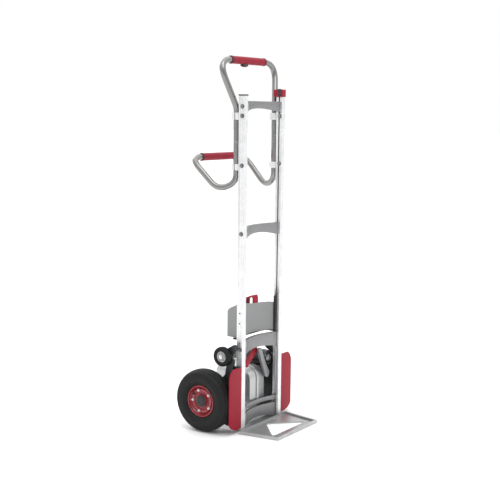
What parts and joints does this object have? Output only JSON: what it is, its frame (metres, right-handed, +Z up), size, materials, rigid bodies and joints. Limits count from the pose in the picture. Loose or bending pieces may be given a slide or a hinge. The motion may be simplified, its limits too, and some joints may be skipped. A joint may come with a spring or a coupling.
{
  "type": "stair-climbing hand truck",
  "caption": "Upright two-wheel hand truck with a toe plate, two handle loops and a battery-driven pair of lifting arms for climbing stairs.",
  "frame": {"origin": "middle of the footprint of the whole truck, on the floor", "axes": "+Z up along the rails, -Y to the front where the toe plate lies, +X to the truck's own left"},
  "size_m": [0.5154, 0.4518, 1.5327],
  "materials": {
    "rail": "satin anodised",
    "cast": "sand cast",
    "plate": "brushed",
    "tube": "drawn",
    "steel": "machined",
    "arm": "powder coated",
    "red": "moulded",
    "rim": "gloss",
    "black": "matt",
    "tyre": "matt",
    "battery": "fine grain",
    "brass": "machined",
    "motor": "enamelled",
    "black_steel": "powder coated"
  },
  "bodies": {
    "frame": {"right_rail": "rail", "right_guard": "red", "right_axle_plate": "black_steel", "right_shaft_bush": "brass", "right_upper_clamp": "rail", "right_lower_clamp": "rail", "right_battery_guide": "black", "left_rail": "rail", "left_guard": "red", "left_axle_plate": "black_steel", "left_shaft_bush": "brass", "left_upper_clamp": "rail", "left_lower_clamp": "rail", "left_battery_guide": "black", "upper_crossbar": "cast", "middle_crossbar": "cast", "lower_crossbar": "cast", "base_crossbar": "cast", "toe_plate": "plate", "upper_handle_tube": "tube", "lower_handle_tube": "tube", "upper_grip": "red", "lower_grip": "red", "button_housing": "black", "right_rail_cap": "black", "control_housing": "red", "control_cable": "black", "axle": "steel", "gearbox_right_half": "plate", "gearbox_left_half": "plate", "motor_can": "motor", "motor_end_cap": "motor", "worm_case": "plate", "gearbox_bracket": "cast", "gearbox_brace": "red"},
    "right_wheel": {"right_tyre": "tyre", "right_rim": "rim", "right_wheel_bearing": "steel", "right_hub_cap": "black"},
    "right_support_wheel": {"right_support_tyre": "tyre", "right_support_hub": "battery"},
    "left_wheel": {"left_tyre": "tyre", "left_rim": "rim", "left_wheel_bearing": "steel", "left_hub_cap": "black"},
    "left_support_wheel": {"left_support_tyre": "tyre", "left_support_hub": "battery"},
    "lift_arms": {"right_lift_arm": "arm", "left_lift_arm": "arm", "right_support_pin": "steel", "left_support_pin": "steel", "drive_sleeve": "steel", "drive_gear": "steel"},
    "reduction_shaft": {"layshaft": "steel"},
    "motor_shaft": {"motor_rotor": "steel"},
    "battery": {"battery_case": "battery", "battery_cells": "black", "battery_handle": "red"},
    "push_button": {"run_button": "red"},
    "rocker_switch": {"climb_rocker": "black"}
  },
  "joints": [
    {"name": "right_wheel_spin", "type": "hinge", "parent": "frame", "child": "right_wheel", "pos_m": [-0.2167, 0.09585, 0.13], "axis": [1, 0, 0], "continuous": true},
    {"name": "right_support_wheel_spin", "type": "hinge", "parent": "lift_arms", "child": "right_support_wheel", "pos_m": [-0.1815, 0.03165, 0.315], "axis": [1, 0, 0], "continuous": true},
    {"name": "left_wheel_spin", "type": "hinge", "parent": "frame", "child": "left_wheel", "pos_m": [0.2167, 0.09585, 0.13], "axis": [1, 0, 0], "continuous": true},
    {"name": "left_support_wheel_spin", "type": "hinge", "parent": "lift_arms", "child": "left_support_wheel", "pos_m": [0.1815, 0.03165, 0.315], "axis": [1, 0, 0], "continuous": true},
    {"name": "lift_arm_swing", "type": "hinge", "parent": "frame", "child": "lift_arms", "pos_m": [0, 0.09585, 0.13], "axis": [-1, 0, 0], "range_deg": [0, 165]},
    {"name": "reduction_shaft_spin", "type": "hinge", "parent": "frame", "child": "reduction_shaft", "pos_m": [0.022, 0.13325, 0.2175], "axis": [-1, 0, 0], "range_deg": [-541, 1]},
    {"name": "motor_spin", "type": "hinge", "parent": "frame", "child": "motor_shaft", "pos_m": [0.114, 0.05765, 0.2585], "axis": [0, 1, 0], "range_deg": [-1, 10801]},
    {"name": "battery_lift_off", "type": "slide", "parent": "frame", "child": "battery", "axis": [0, 0, 1], "range_m": [0, 0.18]},
    {"name": "run_button_press", "type": "slide", "parent": "frame", "child": "push_button", "axis": [0, 0, 1], "range_m": [0, 0.003], "stiffness_N_per_m": 400, "springref_m": -0.003},
    {"name": "rocker_tilt", "type": "hinge", "parent": "frame", "child": "rocker_switch", "pos_m": [0.135, -0.02135, 1.397], "axis": [1, 0, 0], "range_deg": [-18, 18]}
  ],
  "couplings": [
    {"joint": "reduction_shaft_spin", "follows": "lift_arm_swing", "ratio": -3.2727},
    {"joint": "motor_spin", "follows": "lift_arm_swing", "ratio": 65.455}
  ]
}
